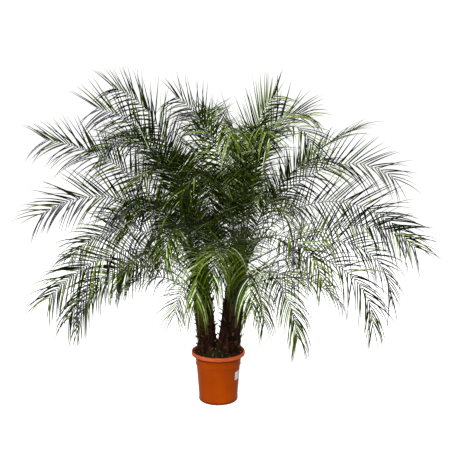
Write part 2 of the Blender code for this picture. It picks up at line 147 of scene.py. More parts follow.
MOSS_FRONT = -0.04            # moss grows only in front of this
MOSS_SHARE = 0.45

# Stems
Stem = namedtuple("Stem", "foot_x top_x radius")
STEMS = {
    "left": Stem(foot_x=-0.056, top_x=-0.108, radius=0.045),
    "right": Stem(foot_x=0.057, top_x=0.112, radius=0.053),
}
STEM_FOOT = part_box("stem_left")[0].z
STEM_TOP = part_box("stem_left")[1].z
CROWN_START = 0.74
BUD_NARROWING = 0.85
STEM_TAPER = 0.36
FLARE = 0.006
FLARE_HEIGHT = 0.035
BARK_SIDES = 72
BARK_RINGS = 150
BARK_RELIEF = 0.0045
BARK_SUNK = 0.001             # the bark's mean surface lies this far inside the stem's radius
INNER_MAT = 0.010             # old leaf bases that stand out between the two stems
MAT_FADE = 0.06
GOLDEN_ANGLE = 137.5          # degrees from one leaf base to the next
BASE_STEP = 0.0056            # and the height between them
BASE_SUNK = 0.002
BASE_LENGTHS = (0.016, 0.026)
BASE_WIDTHS = (0.0060, 0.0100)
BASE_RISES = {"brown": 44, "green": 66}
BASE_SPREAD = 12
GREEN_START = 0.44            # leaf bases turn green over this height
GREEN_SPAN = 0.20
GREEN_LONGER = 1.8
RED_HEIGHT = 0.34             # below this most leaf bases are weathered red brown
RED_LOW = 0.60
RED_HIGH = 0.30
STUB_LENGTH = 0.026
STUB_WIDTH = 0.0065
STUB_RISES = (25, 50)
FIBRES = 900
FIBRE_CLIMBS = (0.012, 0.045)
FIBRE_LIFTS = (0.001, 0.007)
LOOSE_SHARE = 0.08            # of the fibres that stand out further
LOOSE_LIFT = 2.2
FIBRE_HALF_WIDTHS = (0.00055, 0.0004, 0.0001)

# Ribs, by the rule of the solids
GAP = 0.0003
PETIOLE_SHARE = 0.22
CURVE_STEPS = 120
RAY_START = 0.2
LEANS = range(0, 40, 3)
NUDGE_TURNS = (0, 4, -4, 8, -8, 12, -12)
NUDGE_DROPS = (0, 0.012, 0.024, 0.036, 0.050)
TEST_SHARES = np.array((0.25, 0.45, 0.7, 0.95))
RIB_TOLERANCE = 0.003
RIB_RINGS = 46
RIB_CORNERS = 8
RIB_HALF_WIDTHS = (0.0056, 0.0036, 0.0024, 0.0007)
RIB_HALF_HEIGHTS = (0.0042, 0.0028, 0.0009)

# Leaf bases that clasp the stem below their petioles
SHEATH_RINGS = 9
SHEATH_DEPTHS = (0.10, 0.17)
SHEATH_DRIFT = 9              # degrees that one may wander round the stem
SHEATH_LOWEST = 0.05          # over the stem's foot
SHEATH_LIFTS = (0.0020, 0.0080)
SHEATH_HALF_WIDTHS = (0.0040, 0.0072, 0.0062)
SHEATH_HALF_HEIGHTS = (0.0016, 0.0040)
SHEATH_BROWN_SHARE = 0.70     # its lower part, which has dried

# Leaflets
LEAFLET_PITCHES = {"left": 0.0170, "right": 0.0195}
FILLING_PITCH = 0.0130        # closer on the fronds behind, which darken the crown's heart
LONGEST_LEAFLET = 0.235
LENGTH_AT_FOOT = 0.56
LENGTH_AT_TIP = 0.74
LENGTH_SWELL = 0.355
SHORT_FROND_SHARE = 0.55
FORWARD_FIRST = 62
FORWARD_LAST = 25
CEILING = cad_box[1].z + 0.045    # leaflets end below this height
DROOP_ANGLE = 16              # extra degrees from the rib for leaflets on its lower side
LIFT = 16
RANK = 7                      # degrees that every other leaflet stands above or below its row
LEAFLET_HALF_WIDTH = 0.0044
WIDTH_LENGTH = 0.2            # the length of a leaflet that is just so wide
FOOT_WIDTH = 0.6              # share of its width at its foot
WIDEST_FROM = 0.2             # share of its length where it is full width
TAPER = 1.5
LEAFLET_SEGMENTS = 7
FOLD = 26                     # degrees that each half of a leaflet stands up from its midrib
LIMP_RANGE = (0.5, 1.3)       # how freely the leaflets of a frond sag
LIMP_HEIGHTS = (0.68, 0.56)   # fronds that leave the stem lower than this hang limper
LIMP_EXTRA = 1.0
LIMP_ALONG = (1.0, 0.75)
FRONT_SLENDER = 0.20          # how much narrower leaflets are on the fronds that come forwards
FRONT_CLOSER = 0.35           # and how much closer together
SAG_SLOPES = (-0.6, 0.0, 0.5, 0.9)    # how steeply a leaflet starts, from hanging to upright
SAG_FACTORS = (1.7, 1.05, 0.42, 0.04)
ROOT_OFFSETS = (0.0022, 0.0006)   # from the rib's middle, at the first leaflets and the tip

# How unevenly leaflets stand: in degrees, or as shares of what varies
PLACE_SPREAD = 0.12
ANGLE_SPREAD = 6
LIFT_SPREAD = 9
TWIST_SPREAD = 28
LENGTH_MEAN = 0.96
LENGTH_SPREAD = 0.07
WIDTH_SPREAD = 0.08
SAG_SPREAD = 0.15

# Spines on the petioles
SPINE_PITCH = 0.014
LONGEST_SPINE = 0.085
SPINE_FROM = 0.25             # share of the petiole below the lowest
SPINE_ANGLE = 48
SPINE_SPREAD = 9
SPINE_LIFT = 0.35
SPINE_SAG = 0.3
SPINE_HALF_WIDTH = 0.0015
SPINE_OFFSET = 0.0035

Frond = namedtuple("Frond", "stem height heading rise length bend late roll")
OUTLINE_FRONDS = [Frond(*row) for row in (
    ("left", 0.77, 150, 81, 1.09, 68, 2.2, 78),
    ("left", 0.76, 184, 83, 1.00, 74, 2.0, 72),
    ("left", 0.73, 214, 79, 0.96, 118, 2.9, 35),
    ("left", 0.72, 165, 80, 1.13, 74, 0.78, 65),
    ("left", 0.71, 190, 76, 0.99, 112, 1.1, 60),
    ("left", 0.69, 211, 74, 0.70, 96, 1.4, 40),
    ("left", 0.67, 184, 79, 0.80, 130, 0.9, 55),
    ("left", 0.66, 215, 85, 0.94, 127, 0.54, 50),
    ("left", 0.54, 192, 85, 0.89, 170, 0.78, 35),
    ("left", 0.50, 164, 80, 0.54, 130, 0.8, 30),
    ("left", 0.53, 250, 78, 0.44, 144, 1.0, 20),
    ("left", 0.60, 202, 80, 0.86, 144, 0.7, 42),
    ("left", 0.60, 270, 80, 0.86, 136, 0.95, 10),
    ("right", 0.74, 326, 30, 1.00, 68, 2.7, -60),
    ("right", 0.77, 22, 84, 0.94, 115, 4.2, -50),
    ("right", 0.77, 312, 81, 1.03, 174, 3.7, -30),
    ("right", 0.73, 19, 83, 1.00, 63, 0.8, -4),
    ("right", 0.71, 5, 71, 1.08, 112, 1.8, -62),
    ("right", 0.69, 347, 80, 1.10, 132, 1.1, -60),
    ("right", 0.65, 0, 42, 1.03, 134, 1.6, -50),
    ("right", 0.63, 338, 48, 0.93, 141, 1.3, -45),
    ("right", 0.61, 18, 19, 0.64, 74, 1.25, -30),
    ("right", 0.67, 302, 87, 0.79, 152, 0.95, -35),
    ("right", 0.60, 298, 71, 0.75, 150, 0.87, -8),
    ("right", 0.57, 286, 76, 0.58, 146, 0.9, 0),
    ("right", 0.60, 275, 78, 0.84, 136, 0.95, -10),
    ("right", 0.64, 322, 44, 0.42, 70, 1.1, -40),
    ("right", 0.77, 128, 86, 1.01, 66, 1.7, 70),
    ("right", 0.77, 54, 86, 0.97, 72, 3.0, -50),
    ("right", 0.76, 255, 88, 0.98, 168, 3.6, 30),
    ("right", 0.75, 284, 87, 1.00, 154, 3.4, -20),
)]
Filling = namedtuple("Filling", "stem count middle spread rises lengths bends heights start")
FILLINGS = [
    Filling("left", 7, 92, 50, (84, 52), (1.10, 0.98), (84, 124), (0.76, 0.54), 0.35),
    Filling("right", 7, 86, 48, (84, 52), (1.12, 1.00), (90, 124), (0.76, 0.54), 0.80),
    Filling("left", 4, 280, 44, (86, 66), (1.02, 0.80), (130, 122), (0.75, 0.56), 0.15),
    Filling("right", 3, 244, 30, (84, 68), (1.00, 0.86), (132, 120), (0.74, 0.56), 0.55),
]
GOLDEN = 0.618
FILLING_LATE = 1.5
FILLING_ROLL = 20

# Leaf tones: painted shade in the deep and dark ones, the leaves' own green in the mid one,
# painted light in the light one, a painted sheen in the pale one, and a painted sky reflection in the
# grey of hanging leaflets
LEAF_TONES = {
    "leaf_deep_shade": (0.004, 0.008, 0.0006),
    "leaf_dark_shade": (0.015, 0.027, 0.0010),
    "leaf_mid": (0.055, 0.086, 0.0025),
    "leaf_lit": (0.145, 0.205, 0.036),
    "leaf_pale_sheen": (0.400, 0.500, 0.300),
    "leaf_grey_reflection": (0.085, 0.080, 0.092),
}
# The weight of the first five in a frond, and what age, the painted light on a heading to the front,
# chance, a frond's own favourite, painted shade and painted light add to them
TONE_BASE = np.array((0.70, 0.60, 0.49, 0.12, 0.07))
TONE_AGE = np.array((0.20, 0, -0.15, 0, 0))
TONE_FRONT_LIGHT = np.array((0, 0, 0.30, 0.10, 0.04))
TONE_CHANCE = np.array((0, 0, 0, 0.08, 0))
TONE_FAVOUR = 0.30
TONE_SHADED = (2.4, 0.8, 0, 0, 0)
TONE_PAINTED_LIGHT = (0, 0, 0.30, 0.60, 0.22)
YOUNG_HEIGHT = 0.80           # a frond's age is counted down from this height
AGE_HEIGHT = 0.28             # over this much of its stem
DEEP_SHADE_LOOK = 0
GREY_REFLECTION_LOOK = 5
PETIOLE_LOOK, RACHIS_LOOK, SHEATH_LOOK = range(3)
GREY_REFLECTION_SHARE = 0.45             # of the leaflets at the tips of the fronds that reach out sideways, which take the painted sky reflection
# The space between leaflets on some fronds, as a share of the usual
SPACING = {
    "left_03": 0.76, "left_06": 0.76, "left_18": 0.76, "right_24": 0.76,
    "left_07": 0.80, "right_02": 0.80, "right_11": 0.80, "right_16": 0.80,
    "left_08": 0.90, "left_12": 0.90, "left_09": 0.95,
    "left_14": 1.35, "left_20": 1.35, "left_22": 1.35,
    "right_19": 1.35, "right_21": 1.35, "right_23": 1.35,
}
STIFF_FRONDS = ("left_11",)
STIFF_LIMP = 0.5
# Fronds whose leaflets take more painted shade
SHADED_FRONDS = (
    "left_03", "left_05", "left_06", "left_15", "left_18", "left_21",
    "right_06", "right_07", "right_21", "right_24", "right_26",
)
# Fronds whose leaflets take more painted light
PAINTED_LIGHT_FRONDS = (
    "left_11", "left_13", "right_02", "right_10", "right_12",
    "right_13", "right_16", "right_17", "right_18",
)
SHADED_UPPER = 0.5            # share of the leaflets above a sideways rib that take the deep tone's painted shade

# Torn stubs that stand out past the bark: heading and height of each
STUBS = {
    "left": [(184, 0.430), (206, 0.345), (340, 0.500), (300, 0.290), (330, 0.330), (250, 0.360)],
    "right": [(182, 0.490), (352, 0.350), (300, 0.330), (250, 0.300), (280, 0.370), (325, 0.300)],
}


def between(values, share):
    return values[0] + (values[1] - values[0]) * share


def graded(color, low, high):
    """A colour between a darker and a lighter shade of it."""
    return tuple(tuple(channel * factor for channel in color) for factor in (low, 1, high))


def units(vectors):
    return vectors / np.linalg.norm(vectors, axis=-1, keepdims=True)


def outwards(angle):
    return np.array((math.cos(angle), math.sin(angle), 0))


def sideways(out):
    return np.array((out[1], -out[0], 0))


# Materials

# Noise drawn out by stretch gives the colours, over a spread about its middle, and the relief
Finish = namedtuple("Finish", "roughness specular scale detail stretch spread bump depth")
LEAF = Finish(0.45, 0.02, 55, 3.0, 1, 0.15, 0, 0)
STALK = Finish(0.38, 0.10, 60, 5.0, 0.12, 0.15, 0.15, 0.001)
FIBRE = Finish(0.85, 0.05, 70, 8.0, 0.3, 0.20, 0.8, 0.004)
GRAIN = Finish(0.95, 0.05, 300, 8.0, 1, 0.15, 0.7, 0.003)
BROWNS = ((0.003, 0.0015, 0.0008), (0.019, 0.008, 0.004), (0.070, 0.032, 0.017))
REDS = ((0.024, 0.009, 0.005), (0.080, 0.034, 0.015), (0.190, 0.095, 0.045))
SHEATHS = ((0.0275, 0.015, 0.006), (0.055, 0.030, 0.012), (0.17, 0.15, 0.045))
YOUNG_SHEATHS = ((0.016, 0.016, 0.004), (0.036, 0.044, 0.009), (0.075, 0.090, 0.020))
SCRAPS = ((0.090, 0.052, 0.010), (0.200, 0.130, 0.030), (0.300, 0.210, 0.060))
PEATS = ((0.005, 0.003, 0.001), (0.024, 0.013, 0.005), (0.070, 0.040, 0.018))
MOSSES = ((0.012, 0.020, 0.003), (0.045, 0.062, 0.010))
WHITES = ((0.55, 0.53, 0.48), (0.75, 0.73, 0.70))
PAPERS = ((0.78, 0.77, 0.74), (0.86, 0.85, 0.83))
FINISHED = {
    "petiole": (graded((0.024, 0.036, 0.005), 0.7, 1.25), STALK),
    "rachis": (graded((0.052, 0.072, 0.012), 0.75, 1.2), STALK._replace(roughness=0.42, bump=0.1)),
    "sheath": (SHEATHS, STALK._replace(roughness=0.7, bump=0.5)),
    "sheath_green": (YOUNG_SHEATHS, STALK._replace(roughness=0.5, bump=0.4)),
    "scrap": (SCRAPS, STALK._replace(roughness=0.8, bump=0.5)),
    "bark": (BROWNS, FIBRE._replace(scale=45)),
    "boot": (BROWNS, FIBRE),
    "boot_red": (REDS, FIBRE),
    "fibre": (BROWNS, FIBRE._replace(scale=90)),
    "fibre_pale": (REDS, FIBRE._replace(scale=90)),
    "paper": (PAPERS, GRAIN._replace(roughness=0.6, scale=60, depth=0.0003)),
    "peat": (PEATS, GRAIN._replace(scale=220)),
    "moss": (MOSSES, GRAIN),
    "perlite": (WHITES, GRAIN),
}


def principled(name, roughness, specular):
    material = bpy.data.materials.new(name)
    material.use_nodes = True
    shader = material.node_tree.nodes["Principled BSDF"]
    shader.inputs["Roughness"].default_value = roughness
    shader.inputs["Specular IOR Level"].default_value = specular
    return material, material.node_tree, shader


def new_node(tree, kind, **values):
    """A shader node with some inputs set. An underscore in their names stands for a space."""
    node = tree.nodes.new("ShaderNode" + kind)
    for name, value in values.items():
        node.inputs[name.replace("_", " ")].default_value = value
    return node


def noise_texture(tree, scale, detail, stretch=1.0):
    """A noise over the object's own coordinates, drawn out upwards where stretch is under 1."""
    coordinates = new_node(tree, "TexCoord")
    mapping = new_node(tree, "Mapping", Scale=(1, 1, stretch))
    texture = new_node(tree, "TexNoise", Scale=scale, Detail=detail)
    tree.links.new(coordinates.outputs["Object"], mapping.inputs["Vector"])
    tree.links.new(mapping.outputs["Vector"], texture.inputs["Vector"])
    return texture.outputs["Fac"]


def ramp(tree, source, colors, spread=0.15):
    """Colours spread evenly about the middle of a value."""
    node = new_node(tree, "ValToRGB")
    elements = node.color_ramp.elements
    while len(elements) < len(colors):
        elements.new(0.5)
    for index, color in enumerate(colors):
        elements[index].position = 0.5 + spread * (2 * index / (len(colors) - 1) - 1)
        elements[index].color = (*color, 1)
    tree.links.new(source, node.inputs["Fac"])
    return node.outputs["Color"]


def add_bump(tree, shader, source, strength, distance):
    bump = new_node(tree, "Bump", Strength=strength, Distance=distance)
    tree.links.new(source, bump.inputs["Height"])
    tree.links.new(bump.outputs["Normal"], shader.inputs["Normal"])


def map_range(tree, source, side, low, high):
    """A value moved between ranges: side is From or To, for the range that is set."""
    node = new_node(tree, "MapRange", **{side + "_Min": low, side + "_Max": high})
    tree.links.new(source, node.inputs["Value"])
    return node.outputs["Result"]


def color_mix(tree, factor):
    mix = new_node(tree, "Mix")
    mix.data_type = "RGBA"
    tree.links.new(factor, mix.inputs["Factor"])
    return mix


def mottled_material(name, colors, finish):
    """A surface whose noise gives both its colours and its relief."""
    material, tree, shader = principled(name, finish.roughness, finish.specular)
    mottle = noise_texture(tree, finish.scale, finish.detail, finish.stretch)
    tree.links.new(ramp(tree, mottle, colors, finish.spread), shader.inputs["Base Color"])
    if finish.bump:
        add_bump(tree, shader, mottle, finish.bump, finish.depth)
    return material


def pot_material():
    """Moulded plastic: satin, cloudy, with painted light on a paler lip, and darker towards its foot.
    """
    material, tree, shader = principled("terracotta_plastic", 0.42, 0.03)
    place = new_node(tree, "TexCoord")
    split = new_node(tree, "SeparateXYZ")
    tree.links.new(place.outputs["Object"], split.inputs["Vector"])
    height = split.outputs["Z"]
    cloud = noise_texture(tree, 9, 4.0)
    # Above its underside the lip takes the paler colours of painted light
    lip = color_mix(tree, map_range(tree, height, "From", LIP_UNDERSIDE - 0.001, LIP_UNDERSIDE + 0.002))
    tree.links.new(ramp(tree, cloud, BODY_COLORS), lip.inputs["A"])
    tree.links.new(ramp(tree, cloud, LIP_LIT_COLORS), lip.inputs["B"])
    # The pot turns darker towards its foot
    darker_foot = color_mix(tree, map_range(tree, height, "From", 0.002, DARK_FOOT_HEIGHT))
    darker_foot.inputs["A"].default_value = DARK_FOOT
    tree.links.new(lip.outputs["Result"], darker_foot.inputs["B"])
    tree.links.new(darker_foot.outputs["Result"], shader.inputs["Base Color"])
    scuffs = noise_texture(tree, 30, 6.0, 3)
    tree.links.new(map_range(tree, scuffs, "To", 0.34, 0.55), shader.inputs["Roughness"])
    add_bump(tree, shader, noise_texture(tree, 900, 2.0), 0.12, 0.0004)
    return material


def make_materials():
    materials = {"pot": pot_material()}
    for name, color in LEAF_TONES.items():
        materials[name] = mottled_material(name, graded(color, 0.82, 1.2), LEAF)
    for name, (colors, finish) in FINISHED.items():
        materials[name] = mottled_material(name, colors, finish)
    return materials


# Meshes

def new_object(name, data):
    item = bpy.data.objects.new(name, data)
    bpy.context.scene.collection.objects.link(item)
    return item


class Pile:
    """Gathers the points and faces of many small things that become one piece."""

    def __init__(self):
        self.points = []
        self.faces = []
        self.looks = []
        self.count = 0

    def add(self, points, *groups):
        """Each group is faces, in rows of point numbers, and a material's number for all or each."""
        for faces, looks in groups:
            self.faces.extend((faces + self.count).tolist())
            self.looks.append(np.broadcast_to(looks, len(faces)))
        self.points.append(points)
        self.count += len(points)

    def build(self, name, materials, sharp_angle, nodes):
        mesh = bpy.data.meshes.new(name)
        mesh.from_pydata(np.vstack(self.points).tolist(), [], self.faces)
        for material in materials:
            mesh.materials.append(material)
        mesh.polygons.foreach_set("material_index", np.concatenate(self.looks).astype(np.int32))
        mesh.shade_smooth()
        mesh.set_sharp_from_angle(angle=math.radians(sharp_angle))
        piece = new_object(name, mesh)
        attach(piece, "root")
        if nodes:
            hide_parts(*nodes)
        return piece


def oval_rings(centres, sides, uppers, half_widths, half_heights, corners):
    angle = 2 * np.pi * np.arange(corners) / corners
    across = sides[:, None] * (np.cos(angle)[None, :] * half_widths[:, None])[..., None]
    out = uppers[:, None] * (np.sin(angle)[None, :] * half_heights[:, None])[..., None]
    return centres[:, None] + across + out


def add_tube(pile, rings, look=0):
    """A tube with closed ends, from rings of points. Look is for all, or for each step."""
    count, corners = rings.shape[:2]
    row = np.arange(count - 1)[:, None] * corners
    corner = np.arange(corners)
    after = (corner + 1) % corners
    quads = np.stack((row + corner, row + after, row + corners + after, row + corners + corner), -1)
    tail = (count - 1) * corners
    first = np.full(corners, count * corners)
    start = np.stack((after, corner, first), -1)
    end = np.stack((tail + corner, tail + after, first + 1), -1)
    points = np.vstack((rings.reshape(-1, 3), rings[0].mean(0), rings[-1].mean(0)))
    looks = np.broadcast_to(look, count - 1)
    sides = (quads.reshape(-1, 4), np.repeat(looks, corners))
    pile.add(points, sides, (start, looks[0]), (end, looks[-1]))


# Stems

def stem_axis(stem, height):
    share = (height - STEM_FOOT) / (STEM_TOP - STEM_FOOT)
    return np.array((stem.foot_x + (stem.top_x - stem.foot_x) * share, 0, height))


def stem_radius(stem, height):
    share = (height - STEM_FOOT) / (CROWN_START - STEM_FOOT)
    radius = stem.radius * (1 - STEM_TAPER * min(share, 1) ** 2)
    radius += FLARE * math.exp(-(height - STEM_FOOT) / FLARE_HEIGHT)
    if height > CROWN_START:
        bud_share = min(1, (height - CROWN_START) / (STEM_TOP - CROWN_START))
        radius *= math.sqrt(1 - BUD_NARROWING * bud_share ** 2)
    return radius


def on_stem(stem, height, out, lift):
    """A point over the stem's surface, on the side that out names."""
    return stem_axis(stem, height) + out * (stem_radius(stem, height) + lift)


def mat_depth(side, out, height):
    """How far the old leaf bases stand out on the face turned to the other stem."""
    inner = max(0, out[0] if side == "left" else -out[0])
    return INNER_MAT * inner * min(1, (height - STEM_FOOT) / MAT_FADE)


def tree_of_node(name):
    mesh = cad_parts[name].data
    corners = [vertex.co for vertex in mesh.vertices]
    return BVHTree.FromPolygons(corners, [tuple(polygon.vertices) for polygon in mesh.polygons])


# Fronds

class Rib:
    """The curve of a frond's midrib, with its side and upper directions."""

    def __init__(self, frond, base):
        heading = math.radians(frond.heading)
        share = (np.arange(CURVE_STEPS) + 0.5) / CURVE_STEPS
        pitch = np.radians(frond.rise - frond.bend * share ** frond.late)
        out = outwards(heading)
        steps = np.cos(pitch)[:, None] * out + np.sin(pitch)[:, None] * UP
        self.frond = frond
        self.out = out
        self.level_side = sideways(out)
        self.points = np.vstack((base, base + np.cumsum(steps, axis=0) * frond.length / CURVE_STEPS))
        self.directions = np.vstack((steps[:1], (steps[1:] + steps[:-1]) / 2, steps[-1:]))

    def at(self, shares):
        """Points, forward, side and upper directions at shares of the length."""
        place = np.minimum(shares * CURVE_STEPS, CURVE_STEPS - 1e-6)
        step = place.astype(int)
        rest = (place - step)[:, None]
        points = self.points[step] * (1 - rest) + self.points[step + 1] * rest
        forward = units(self.directions[step] * (1 - rest) + self.directions[step + 1] * rest)
        upper = np.cross(self.level_side, forward)
        turn = math.radians(self.frond.roll) * np.minimum(1, shares / (2 * PETIOLE_SHARE)) ** 2
        side = self.level_side * np.cos(turn)[:, None] + upper * np.sin(turn)[:, None]
        return points, forward, side, np.cross(side, forward)


def filling_fronds():
    """Fronds that spread over a sector by golden steps, lower and flatter with age."""
    fronds = []
    for filling in FILLINGS:
        for place in range(filling.count):
            age = place / max(1, filling.count - 1)
            swing = 2 * ((filling.start + GOLDEN * place) % 1) - 1
            fronds.append(Frond(
                stem=filling.stem,
                height=between(filling.heights, age),
                heading=filling.middle + filling.spread * swing,
                rise=between(filling.rises, age),
                length=between(filling.lengths, age),
                bend=between(filling.bends, age),
                late=FILLING_LATE,
                roll=FILLING_ROLL * swing,
            ))
    return fronds


def solid_names(name):
    """The nodes of a frond, which has an outer half where it is split."""
    return [node for node in ("frond_" + name, "frond_" + name + "_outer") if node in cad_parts]


def off_solid(rib, trees):
    """How far a rib strays from the frond's solids."""
    points = rib.at(TEST_SHARES)[0]
    return max(min(tree.find_nearest(Vector(point))[3] for tree in trees) for point in points)


def seated_rib(frond, name, stem_tree):
    """The frond's rib, turned, lowered and leant as its solid is."""
    trees = [tree_of_node(node) for node in solid_names(name)]
    best = None
    for drop in NUDGE_DROPS:
        for turn in NUDGE_TURNS:
            trial = frond._replace(heading=frond.heading + turn, height=frond.height - drop)
            axis = stem_axis(STEMS[frond.stem], trial.height)
            out = outwards(math.radians(trial.heading))
            surface = stem_tree.ray_cast(Vector(axis + out * RAY_START), Vector(-out))[0]
            for lean in LEANS:
                rib = Rib(trial._replace(rise=trial.rise - lean), np.array(surface) + out * GAP)
                off = off_solid(rib, trees)
                if best is None or off < best[0]:
                    best = (off, rib)
                if off < RIB_TOLERANCE:
                    return rib
    return best[1]


def named_fronds():
    """Each frond with its name, numbered for each stem."""
    counts = {"left": 0, "right": 0}
    named = []
    for frond in OUTLINE_FRONDS + filling_fronds():
        counts[frond.stem] += 1
        named.append(("%s_%02d" % (frond.stem, counts[frond.stem]), frond))
    return named


def leaflet_lengths(frond, along):
    share = between((LENGTH_AT_FOOT, LENGTH_AT_TIP), along) + LENGTH_SWELL * 4 * along * (1 - along)
    return LONGEST_LEAFLET * share * between((SHORT_FROND_SHARE, 1), min(1, frond.length))


def add_leaflets(pile, roots, directions, uppers, lengths, half_widths, sags, twists, looks):
    """Folded leaflets that sag under their weight and taper to a point."""
    segments = LEAFLET_SEGMENTS
    count = len(roots)
    # One that stands up bends little, and one that lies level or hangs bends down freely
    sags = sags * np.interp(directions[:, 2], SAG_SLOPES, SAG_FACTORS)
    heading = directions
    centre = roots
    face = units(uppers - directions * np.sum(uppers * directions, -1, keepdims=True))
    rows = []
    fold = math.radians(FOLD)
    for station in range(segments + 1):
        share = station / segments
        if station:
            heading = units(heading - UP * (sags * share * 2 / segments)[:, None])
            centre = centre + heading * (lengths / segments)[:, None]
        face = units(face - heading * np.sum(face * heading, -1, keepdims=True))
        across = np.cross(heading, face)
        twist = (twists * share)[:, None]
        turned = across * np.cos(twist) + face * np.sin(twist)
        normal = np.cross(turned, heading)
        swell = between((FOOT_WIDTH, 1), min(1, share / WIDEST_FROM))
        width = half_widths * (1 - share ** TAPER) * swell
        if station == segments:
            rows.append(centre[:, None])
            continue
        raised = normal * (width * math.sin(fold))[:, None]
        reach = turned * (width * math.cos(fold))[:, None]
        rows.append(np.stack((centre + reach + raised, centre, centre - reach + raised), 1))
    points = np.concatenate(rows, axis=1)
    stride = points.shape[1]
    start = (np.arange(count) * stride)[:, None, None]
    row = np.arange(segments - 1)[:, None] * 3
    halves = np.array((0, 1))
    quads = np.stack((row + halves, row + halves + 1, row + halves + 4, row + halves + 3), -1)
    quads = (start + quads.reshape(1, -1, 4)).reshape(-1, 4)
    last = (segments - 1) * 3
    tips = np.array(((last, last + 1, last + 3), (last + 1, last + 2, last + 3)))
    tips = (start + tips[None]).reshape(-1, 3)
    sides = (quads, np.repeat(looks, (segments - 1) * 2))
    pile.add(points.reshape(-1, 3), sides, (tips, np.repeat(looks, 2)))


def tone_mix(frond, name, rng):
    """Shares of the leaf tones in one frond: young fronds are lighter, old outer ones get more painted
    shade, fronds heading to the front and the listed lit fronds more painted light, and the listed
    shaded fronds more painted shade.
    """
    age = np.clip((YOUNG_HEIGHT - frond.height) / AGE_HEIGHT, 0, 1)
    front = max(0, -math.sin(math.radians(frond.heading)))
    weights = TONE_BASE + TONE_AGE * age + TONE_FRONT_LIGHT * front + TONE_CHANCE * rng.random()
    weights[rng.integers(0, 4)] += TONE_FAVOUR
    if name in SHADED_FRONDS:
        weights += TONE_SHADED
    if name in PAINTED_LIGHT_FRONDS:
        weights += TONE_PAINTED_LIGHT
    return weights / weights.sum()


def dress_rib(pile, rib, name, pitch, rng):
    """The two rows of leaflets along a rib, from its petiole to its tip."""
    frond = rib.frond
    heading = math.radians(frond.heading)
    front = max(0, -math.sin(heading))
    pitch *= (1 - FRONT_CLOSER * front) * SPACING.get(name, 1)
    pairs = round(frond.length * (1 - PETIOLE_SHARE) / pitch)
    tones = tone_mix(frond, name, rng)
    limp = rng.uniform(*LIMP_RANGE)
    limp += np.interp(-frond.height, np.negative(LIMP_HEIGHTS), (0, LIMP_EXTRA))
    if name in STIFF_FRONDS:
        limp = STIFF_LIMP
    reflection_share = GREY_REFLECTION_SHARE * math.cos(heading) ** 2
    slender = 1 - FRONT_SLENDER * front
    for side in (1, -1):
        along = np.arange(pairs) + 0.5 + rng.normal(0, PLACE_SPREAD, pairs)
        along = np.clip(along / pairs, 0, 1)
        points, forward, across, upper = rib.at(PETIOLE_SHARE + (1 - PETIOLE_SHARE) * along)
        hanging = np.clip(-side * across[:, 2], 0, 1)
        raised = np.clip(side * across[:, 2], 0, 1)
        angle = between((FORWARD_FIRST, FORWARD_LAST), along) + DROOP_ANGLE * hanging
        angle = np.radians(angle + rng.normal(0, ANGLE_SPREAD, pairs))
        rank = np.where(np.arange(pairs) % 2 == (side > 0), RANK, -RANK)
        lift = np.radians(LIFT + rank + rng.normal(0, LIFT_SPREAD, pairs))[:, None]
        outward = across * side * np.cos(lift) + upper * np.sin(lift)
        direction = forward * np.cos(angle)[:, None] + outward * np.sin(angle)[:, None]
        lengths = leaflet_lengths(frond, along) * rng.normal(LENGTH_MEAN, LENGTH_SPREAD, pairs)
        room = (CEILING - points[:, 2]) / np.maximum(direction[:, 2], 0.05)
        lengths = np.minimum(lengths, room)
        looks = rng.choice(len(tones), pairs, p=tones)
        # Hanging leaflets near the tips of sideways fronds take the grey's painted sky reflection, and
        # leaflets raised above the rib take the deep tone's painted shade
        looks = np.where(rng.random(pairs) < 2 * reflection_share * along * hanging, GREY_REFLECTION_LOOK, looks)
        looks = np.where(rng.random(pairs) < SHADED_UPPER * raised, DEEP_SHADE_LOOK, looks)
        widths = LEAFLET_HALF_WIDTH * np.sqrt(lengths / WIDTH_LENGTH)
        add_leaflets(
            pile,
            roots=points + across * side * between(ROOT_OFFSETS, along)[:, None],
            directions=direction,
            uppers=upper,
            lengths=lengths,
            half_widths=widths * rng.normal(slender, WIDTH_SPREAD, pairs),
            sags=limp * rng.normal(1, SAG_SPREAD, pairs) * between(LIMP_ALONG, along),
            twists=np.radians(rng.normal(0, TWIST_SPREAD, pairs)),
            looks=looks,
        )


def add_spines(pile, rib, rng):
    """Short stiff leaflets down both edges of the petiole, longer towards the blade."""
    count = int(rib.frond.length * PETIOLE_SHARE * 0.8 / SPINE_PITCH)
    along = (np.arange(count) + 0.5) / count
    for side in (1, -1):
        points, forward, across, upper = rib.at(PETIOLE_SHARE * between((SPINE_FROM, 1), along))
        angle = np.radians(rng.normal(SPINE_ANGLE, SPINE_SPREAD, count))[:, None]
        outward = units(across * side + upper * SPINE_LIFT)
        lengths = LONGEST_SPINE * between((0.35, 1), along) * rng.uniform(0.7, 1.2, count)
        add_leaflets(
            pile,
            roots=points + across * side * SPINE_OFFSET,
            directions=forward * np.cos(angle) + outward * np.sin(angle),
            uppers=upper,
            lengths=lengths,
            half_widths=np.full(count, SPINE_HALF_WIDTH),
            sags=np.full(count, SPINE_SAG),
            twists=np.zeros(count),
            looks=np.full(count, PETIOLE_LOOK),
        )


